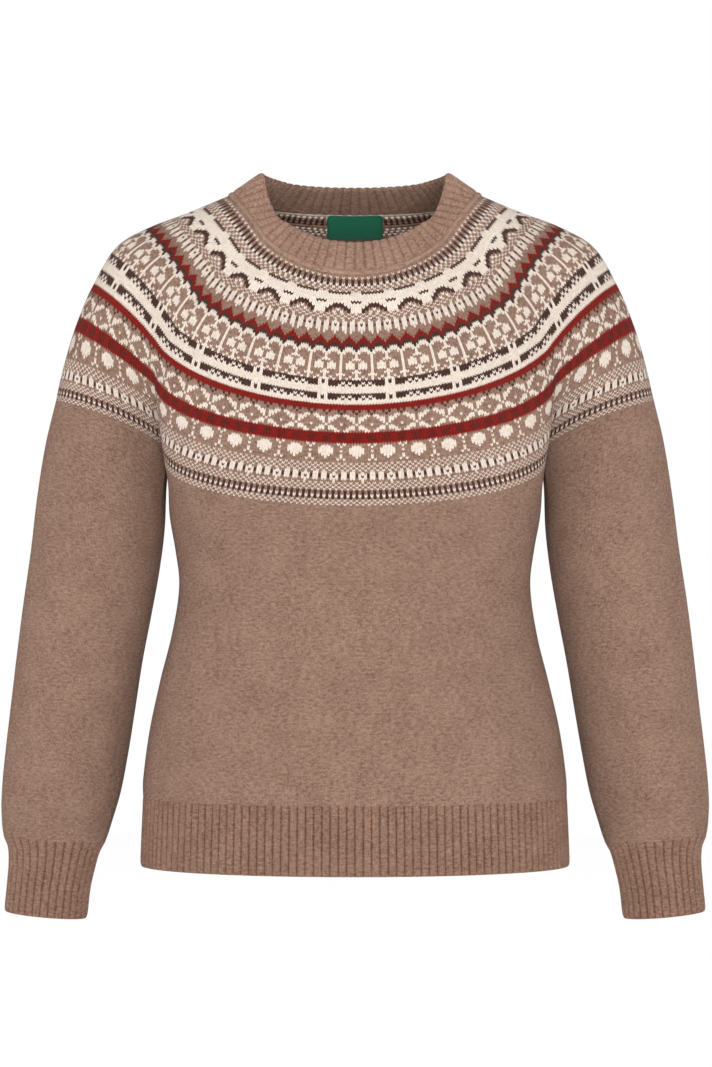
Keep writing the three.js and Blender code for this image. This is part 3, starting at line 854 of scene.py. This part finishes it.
# Body: one tube of front and back, from the yoke's last row to the hem's rib
body = {
    "underarmColumns": 9,
    "rows": 130,
    "innerRows": 60,
    "fade": 0.3,
    "halfWidth": 170,
    "seamDepth": 0.9,
    "seamWidth": 2.2,
    "uneven": 0.45,
}
quarter = yoke["quarterColumns"]
fades = {"top": 0.05, "foot": 0.03, "seam": 0.02}
step = 0.004  # of a tube's length, for slopes


# Lift of a tube's cloth: its unevenness, which fades at both ends, less the groove of its seams.
def tubeLift(uneven, groove, s):
    ends = np.clip(s / fades["top"], 0, 1) * np.clip((1 - s) / fades["foot"], 0, 1)
    return uneven * ends - groove * np.clip(s / fades["seam"], 0, 1)


# Normals of a closed tube, from the way down and the way from each column to the next but one.
def tubeNormals(down, points):
    along = np.roll(points[:, :-1], -1, axis=1) - np.roll(points[:, :-1], 1, axis=1)
    along = np.concatenate([along, along[:, :1]], axis=1)
    normal = np.cross(down, along)
    return normal / np.maximum(np.linalg.norm(normal, axis=-1, keepdims=True), 1e-9)


# The ring that the body hangs from, closed: from the side seam under the right arm over the
# yoke's front between the folds to the left arm, and back over the yoke's back.
def bodyRing(ring):
    front = np.concatenate([ring[7 * quarter : 8 * quarter], ring[: quarter + 1]])
    back = ring[3 * quarter : 5 * quarter + 1]
    share = np.linspace(0, 1, 2 * body["underarmColumns"] + 1)[1:-1, None]
    leftArm = front[-1] + (back[0] - front[-1]) * share
    rightArm = back[-1] + (front[0] - back[-1]) * share
    seam = body["underarmColumns"] - 1
    return np.concatenate([rightArm[seam:], front, leftArm, back, rightArm[: seam + 1]])


def bodySurface(rows, depth):
    top = bodyRing(yokeOuter[-1])
    section = bodySections.at(top[:, 2])
    ringDepth = np.where(top[:, 1] < 0, -section["frontY"], section["backY"])
    angle = np.unwrap(np.arctan2(top[:, 0] / section["half"], -top[:, 1] / ringDepth))
    offset = top - bodyPoint(top[:, 2], angle)

    def skin(s, a):
        z = np.interp(a, np.arange(len(top)), top[:, 2])
        turned = np.interp(a, np.arange(len(top)), angle)
        shift = np.stack([np.interp(a, np.arange(len(top)), offset[:, k]) for k in range(3)], axis=-1)
        height = z + (hemTop - z) * s
        fade = np.clip(1 - s / body["fade"], 0, None) ** 2
        return bodyPoint(height, turned) + shift * fade[..., None]

    s, a = np.meshgrid(np.linspace(0, 1, rows) ** 1.1, np.arange(len(top)), indexing="ij")
    points = skin(s, a.astype(float))
    down = skin(np.minimum(s + step, 1), a) - skin(np.maximum(s - step, 0), a)
    normal = tubeNormals(down, points)
    width = lengthsAlong(points)
    turned = np.angle(np.exp(1j * angle))[None, :] * np.ones_like(s)
    fromSide = np.abs(np.abs(turned) - math.pi / 2) * body["halfWidth"]
    groove = body["seamDepth"] * np.exp(-((fromSide / body["seamWidth"]) ** 2))
    lift = tubeLift(unevenness(points, body["uneven"]), groove, s)
    points = points + normal * (lift - depth)[..., None]
    if depth:
        points[0] = bodyRing(yokeInner[-1])
    return points, np.stack([width / stitch["width"], -points[..., 2] / stitch["height"]], axis=-1)


def makeBody():
    outer, outerUv = bodySurface(body["rows"], 0)
    inner, innerUv = bodySurface(body["innerRows"], wall["jersey"])
    piece = makeShell("bodyCloth", outer, inner, outerUv, innerUv, [jerseyOutside, jerseyInside])
    return piece, outer


bodyPiece, bodyOuter = makeBody()
print("body made", len(bodyPiece.data.polygons))

# Ribs
ribs = {
    "pointsEach": 12,
    "ridge": 1.25,
    "groove": 0.13,
    "rowHeight": 2.3,
    "hem": 134,
    "neck": 72,
    "cuff": 30,
}


# A rib's height across it, in millimetres: a low round top, and a narrow groove between two ribs.
def ribHeight(phase):
    across = np.abs(np.mod(phase, 1) - 0.5)
    fromGroove = 0.5 - across
    return 0.25 * np.cos(2 * math.pi * across) - ribs["ridge"] * np.exp(-((fromGroove / ribs["groove"]) ** 2))


# A band from a closed section: each row has a place along the skin, a lift from it, a share of the
# ribs' height and 0 or 1 for the outer or inner face.
def makeBand(name, skin, steps, count, around, section, cloth):
    phase = np.linspace(0, count, len(around))
    place, lift, share, face = np.array(section).T[:, :, None]
    level, turn = np.meshgrid(place[:, 0], around, indexing="ij")
    normal = normalOf(skin, level, turn, *steps)
    phase = phase[None, :] + 0.5 * face
    height = ribHeight(phase) * share
    lift = lift + np.where(face > 0, -height, height)
    points = skin(level, turn) + normal * lift[..., None]
    points[:, -1] = points[:, 0]
    down = np.concatenate([[0], np.cumsum(np.linalg.norm(np.diff(points[:, 0], axis=0), axis=-1))])
    uv = np.stack(np.broadcast_arrays(phase, (down / ribs["rowHeight"])[:, None]), axis=-1)
    half = int((face[:, 0] < 0.5).sum())
    outer, inner = points[:half], points[half:][::-1]
    piece = makeShell(name, outer, inner, uv[:half], uv[half:][::-1], [cloth, cloth])
    return piece, outer


hemSection = [
    (-536.0, -0.15, 0.5, 0),
    (-538.0, 0.0, 0.9, 0),
    *[(z, 0.1, 1.0, 0) for z in np.linspace(-543, -590, 10)],
    (-594.0, -0.1, 0.9, 0),
    (-596.4, -0.7, 0.7, 0),
    (-597.0, -1.3, 0.5, 0),
    (-596.4, -1.9, 0.5, 1),
    (-594.0, -2.3, 0.7, 1),
    *[(z, -2.4, 0.8, 1) for z in np.linspace(-588, -543, 5)],
    (-536.0, -2.0, 0.3, 1),
]
neckSection = [
    (0.004, -0.9, 0.0, 0),
    (0.0, 0.1, 0.0, 0),
    (-0.012, 0.7, 0.0, 0),
    (-0.035, 1.1, 0.0, 0),
    (-0.07, 1.3, 0.0, 0),
    (-0.105, 1.2, 0.0, 0),
    (-0.135, 0.7, 0.0, 0),
    (-0.15, 0.2, 0.2, 0),
    (-0.165, 0.5, 0.6, 0),
    (-0.19, 0.9, 0.95, 0),
    *[(level, 1.0, 1.0, 0) for level in np.linspace(-0.23, -0.88, 9)],
    (-0.93, 0.7, 0.95, 0),
    (-0.965, 0.1, 0.85, 0),
    (-0.99, -0.8, 0.75, 0),
    (-1.0, -1.7, 0.7, 0),
    (-0.99, -2.6, 0.5, 1),
    (-0.965, -3.3, 0.6, 1),
    (-0.92, -3.8, 0.8, 1),
    *[(level, -4.0, 1.0, 1) for level in np.linspace(-0.85, -0.12, 8)],
    (-0.05, -3.9, 0.6, 1),
    (-0.01, -3.5, 0.0, 1),
    (0.0, -2.6, 0.0, 1),
]
cuffSection = [
    (-573.0, -0.1, 0.4, 0),
    (-575.0, 0.05, 0.9, 0),
    *[(z, 0.1, 1.0, 0) for z in np.linspace(-578, -634, 14)],
    (-638.0, -0.1, 0.9, 0),
    (-640.4, -0.7, 0.7, 0),
    (-641.0, -1.3, 0.5, 0),
    (-640.4, -1.9, 0.5, 1),
    (-638.0, -2.3, 0.7, 1),
    *[(z, -2.4, 0.8, 1) for z in np.linspace(-632, -580, 7)],
    (-573.0, -2.0, 0.3, 1),
]


def makeHem():
    around = evenly(lambda a: bodyPoint(-565.0, a), ribs["hem"] * ribs["pointsEach"], 0, 2 * math.pi)
    return makeBand("hemRib", bodyPoint, (-1.0, 0.01), ribs["hem"], around, hemSection, ribKnit)


# The neckband's ribs start above a plain roll, which hides the seam to the yoke.
def makeNeckband():
    around = evenly(lambda t: yokePoint(-0.5, t), ribs["neck"] * ribs["pointsEach"], 0, 8)
    return makeBand("neckbandRib", yokePoint, (0.02, 0.02), ribs["neck"], around, neckSection, neckKnit)


# On the wearer's right the angle runs the other way round, so that faces still look outward.
def sleeveSkin(side):
    def skin(z, angle):
        point = sleevePoint(z, angle * side)
        point[..., 0] *= side
        return point

    return skin


def makeCuff(name, side):
    skin = sleeveSkin(side)
    around = evenly(lambda a: skin(-607.0, a), ribs["cuff"] * ribs["pointsEach"] * 2, math.pi, -math.pi)
    return makeBand(name, skin, (-1.0, -0.02), ribs["cuff"], around, cuffSection, ribKnit)


hemPiece, hemPoints = makeHem()
neckPiece, neckPoints = makeNeckband()
cuffPieces = [makeCuff(name, side) for name, side in (("cuffLeftRib", 1), ("cuffRightRib", -1))]
print("ribs made", len(hemPiece.data.polygons), len(neckPiece.data.polygons))

# Sleeves
sleeve = {
    "underarmColumns": 24,
    "rows": 150,
    "innerRows": 70,
    "fade": 0.26,
    "halfWidth": 45,
    "seamDepth": 0.8,
    "seamWidth": 2.0,
    "uneven": 0.45,
    "apart": 37,
}


def sleeveSurface(rows, depth, side):
    ring, innerRing = yokeOuter[-1], yokeInner[-1]

    def closed(line):
        arm = line[quarter : 3 * quarter + 1]
        share = np.linspace(0, 1, sleeve["underarmColumns"] + 2)[1:, None]
        return np.concatenate([arm, arm[-1] + (arm[0] - arm[-1]) * share])

    top = closed(ring)
    start = sleeveSections.at(sleeveLevels["top"])
    middle, half = (start["out"] + start["in"]) / 2, (start["out"] - start["in"]) / 2
    angle = np.arctan2(-(top[:, 1] - start["middleY"]) / start["depth"], (top[:, 0] - middle) / half)
    angle = np.unwrap(angle)
    offset = top - sleevePoint(sleeveLevels["top"], angle)

    def skin(s):
        z = sleeveLevels["top"] + (sleeveLevels["seam"] - sleeveLevels["top"]) * s
        fade = np.clip(1 - s / sleeve["fade"], 0, None) ** 2
        return sleevePoint(z, angle[None, :]) + offset[None] * fade[..., None]

    s = np.linspace(0, 1, rows)[:, None] * np.ones((1, len(top)))
    points = skin(s)
    normal = tubeNormals(skin(np.minimum(s + step, 1)) - skin(np.maximum(s - step, 0)), points)
    width = lengthsAlong(points)
    length = np.linalg.norm(np.diff(points[:, quarter], axis=0), axis=-1)
    rowAt = np.concatenate([[0], np.cumsum(length)])[:, None] * np.ones_like(s)
    fromSeam = np.abs(np.angle(np.exp(1j * (angle - math.pi)))) * sleeve["halfWidth"]
    groove = sleeve["seamDepth"] * np.exp(-((fromSeam / sleeve["seamWidth"]) ** 2))[None, :]
    lift = tubeLift(unevenness(points + side * sleeve["apart"], sleeve["uneven"]), groove, s)
    points = points + normal * (lift - depth)[..., None]
    if depth:
        points[0] = closed(innerRing)
    uv = np.stack([width / stitch["width"], rowAt / stitch["height"]], axis=-1)
    if side < 0:
        points = points[:, ::-1] * np.array([-1, 1, 1])
        uv = uv[:, ::-1]
    return points, uv


def makeSleeve(name, side):
    outer, outerUv = sleeveSurface(sleeve["rows"], 0, side)
    inner, innerUv = sleeveSurface(sleeve["innerRows"], wall["jersey"], side)
    return makeShell(name, outer, inner, outerUv, innerUv, [jerseyOutside, jerseyInside]), outer


sleevePieces = [makeSleeve(name, side) for name, side in (("sleeveLeftCloth", 1), ("sleeveRightCloth", -1))]
print("sleeves made", len(sleevePieces[0][0].data.polygons))

# Label, on points of the yoke's wall moved inward
label = {"width": 50, "height": 21, "thick": 0.8, "corner": 3, "drop": 0.006, "gap": 0.3}
yokeDepth = 220  # of the yoke's back, along the cloth


def makeLabel():
    x = label["width"] / 2 * np.sin(np.linspace(-math.pi / 2, math.pi / 2, 49))
    beyond = np.clip(np.abs(x) - (label["width"] / 2 - label["corner"]), 0, label["corner"] * 0.98)
    trimmed = label["corner"] - np.sqrt(label["corner"] ** 2 - beyond**2)
    nearby = 0.1
    down = np.linspace(-1, 1, 25)[:, None]
    height = (label["height"] / 2 - trimmed)[None, :]
    level = label["drop"] + (label["height"] / 2 + down * height) / yokeDepth
    turn = 4 + x * nearby / yokePoint(level, 4 - nearby)[..., 0]
    normal = normalOf(yokePoint, level, turn, 0.01, 0.02)
    skin = yokePoint(level, turn)
    back = skin - normal * (wall["stranded"] + label["gap"])
    rounding = 1 - np.maximum(np.abs(down) ** 8, np.abs(x / x.max())[None, :] ** 16)
    front = back - normal * (label["thick"] * (0.55 + 0.45 * rounding))[..., None]
    uv = np.stack(np.broadcast_arrays(x[None, :] / label["width"] + 0.5, down / 2 + 0.5), axis=-1)
    return makeShell("neckLabel", back, front, uv, uv, [labelSatin, labelSatin], tube=False), front


labelPiece, labelPoints = makeLabel()
print("label made")

for piece, nodes, slot in (
    (yokePiece, ["yoke"], "yoke"),
    (bodyPiece, ["front", "back"], "jersey"),
    (hemPiece, ["hem_rib_front", "hem_rib_back"], "rib"),
    (neckPiece, ["neckband"], "rib"),
    (sleevePieces[0][0], ["sleeve_left"], "jersey"),
    (sleevePieces[1][0], ["sleeve_right"], "jersey"),
    (cuffPieces[0][0], ["cuff_left"], "rib"),
    (cuffPieces[1][0], ["cuff_right"], "rib"),
    (labelPiece, ["neck_label"], "label"),
):
    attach(piece, "root")
    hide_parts(*nodes)

# Floor, light and camera
stage = {"floorZ": -0.95, "floorSize": 9.0}


def makeFloor():
    half = stage["floorSize"] / 2
    mesh = bpy.data.meshes.new("floor")
    corners = [(-half, -half), (half, -half), (half, half), (-half, half)]
    mesh.from_pydata([(x, y, stage["floorZ"]) for x, y in corners], [], [(0, 1, 2, 3)])
    material = bpy.data.materials.new("floorPaper")
    material.use_nodes = True
    surface = material.node_tree.nodes["Principled BSDF"]
    surface.inputs["Base Color"].default_value = (0.96, 0.96, 0.96, 1.0)
    surface.inputs["Roughness"].default_value = 0.9
    mesh.materials.append(material)
    floor = bpy.data.objects.new("floor", mesh)
    bpy.context.scene.collection.objects.link(floor)


def addLight(name, place, target, size, power):
    light = bpy.data.lights.new(name, "AREA")
    light.size, light.energy = size, power
    lamp = bpy.data.objects.new(name, light)
    lamp.location = place
    direction = Vector(target) - Vector(place)
    lamp.rotation_euler = direction.to_track_quat("-Z", "Y").to_euler()
    bpy.context.scene.collection.objects.link(lamp)


makeFloor()
for light in (
    {"name": "keyLight", "place": (-0.8, -2.7, 1.2), "size": 1.6, "power": 20},
    {"name": "frontLight", "place": (0.25, -3.2, -0.6), "size": 1.1, "power": 82},
    {"name": "leftFill", "place": (-2.4, -1.1, 0.0), "size": 1.4, "power": 18},
    {"name": "rightFill", "place": (2.4, -1.1, 0.0), "size": 1.4, "power": 16},
):
    addLight(light["name"], light["place"], (0, 0, -0.25), light["size"], light["power"])
world = bpy.data.worlds.new("paperWhite")
world.use_nodes = True
world.node_tree.nodes["Background"].inputs[0].default_value = (1.0, 1.0, 1.0, 1.0)
world.node_tree.nodes["Background"].inputs[1].default_value = 1.0
bpy.context.scene.world = world
bpy.context.scene.view_settings.view_transform = "Standard"

camera = bpy.data.cameras.new("camera")
camera.sensor_width = 24
camera.lens = 79.6
eye = bpy.data.objects.new("camera", camera)
eye.location = (0.0009, -3.15, -0.3017)
eye.rotation_euler = (math.pi / 2, 0, 0)
bpy.context.scene.collection.objects.link(eye)
bpy.context.scene.camera = eye
print("stage made")


# Flat sizes: a tube's width is its longest round and its length the longest way down it.
def flatSize(points):
    round_ = float(lengthsAlong(points)[:, -1].max()) * millimetre
    down = np.linalg.norm(np.diff(points, axis=0), axis=-1).sum(0)
    return round_, float(down.max()) * millimetre


for piece, points, held in (
    (yokePiece, yokeOuter, "stretched"),
    (bodyPiece, bodyOuter, "hung"),
    (sleevePieces[0][0], sleevePieces[0][1], "hung"),
    (sleevePieces[1][0], sleevePieces[1][1], "hung"),
    (hemPiece, hemPoints, "hung"),
    (neckPiece, neckPoints, "stretched"),
    (*cuffPieces[0], "hung"),
    (*cuffPieces[1], "hung"),
    (labelPiece, labelPoints, "laid"),
):
    flat, area = flatSize(points), areaOf(points)
    print(piece.name, "flat", [round(x, 4) for x in flat], "area", round(area, 5))
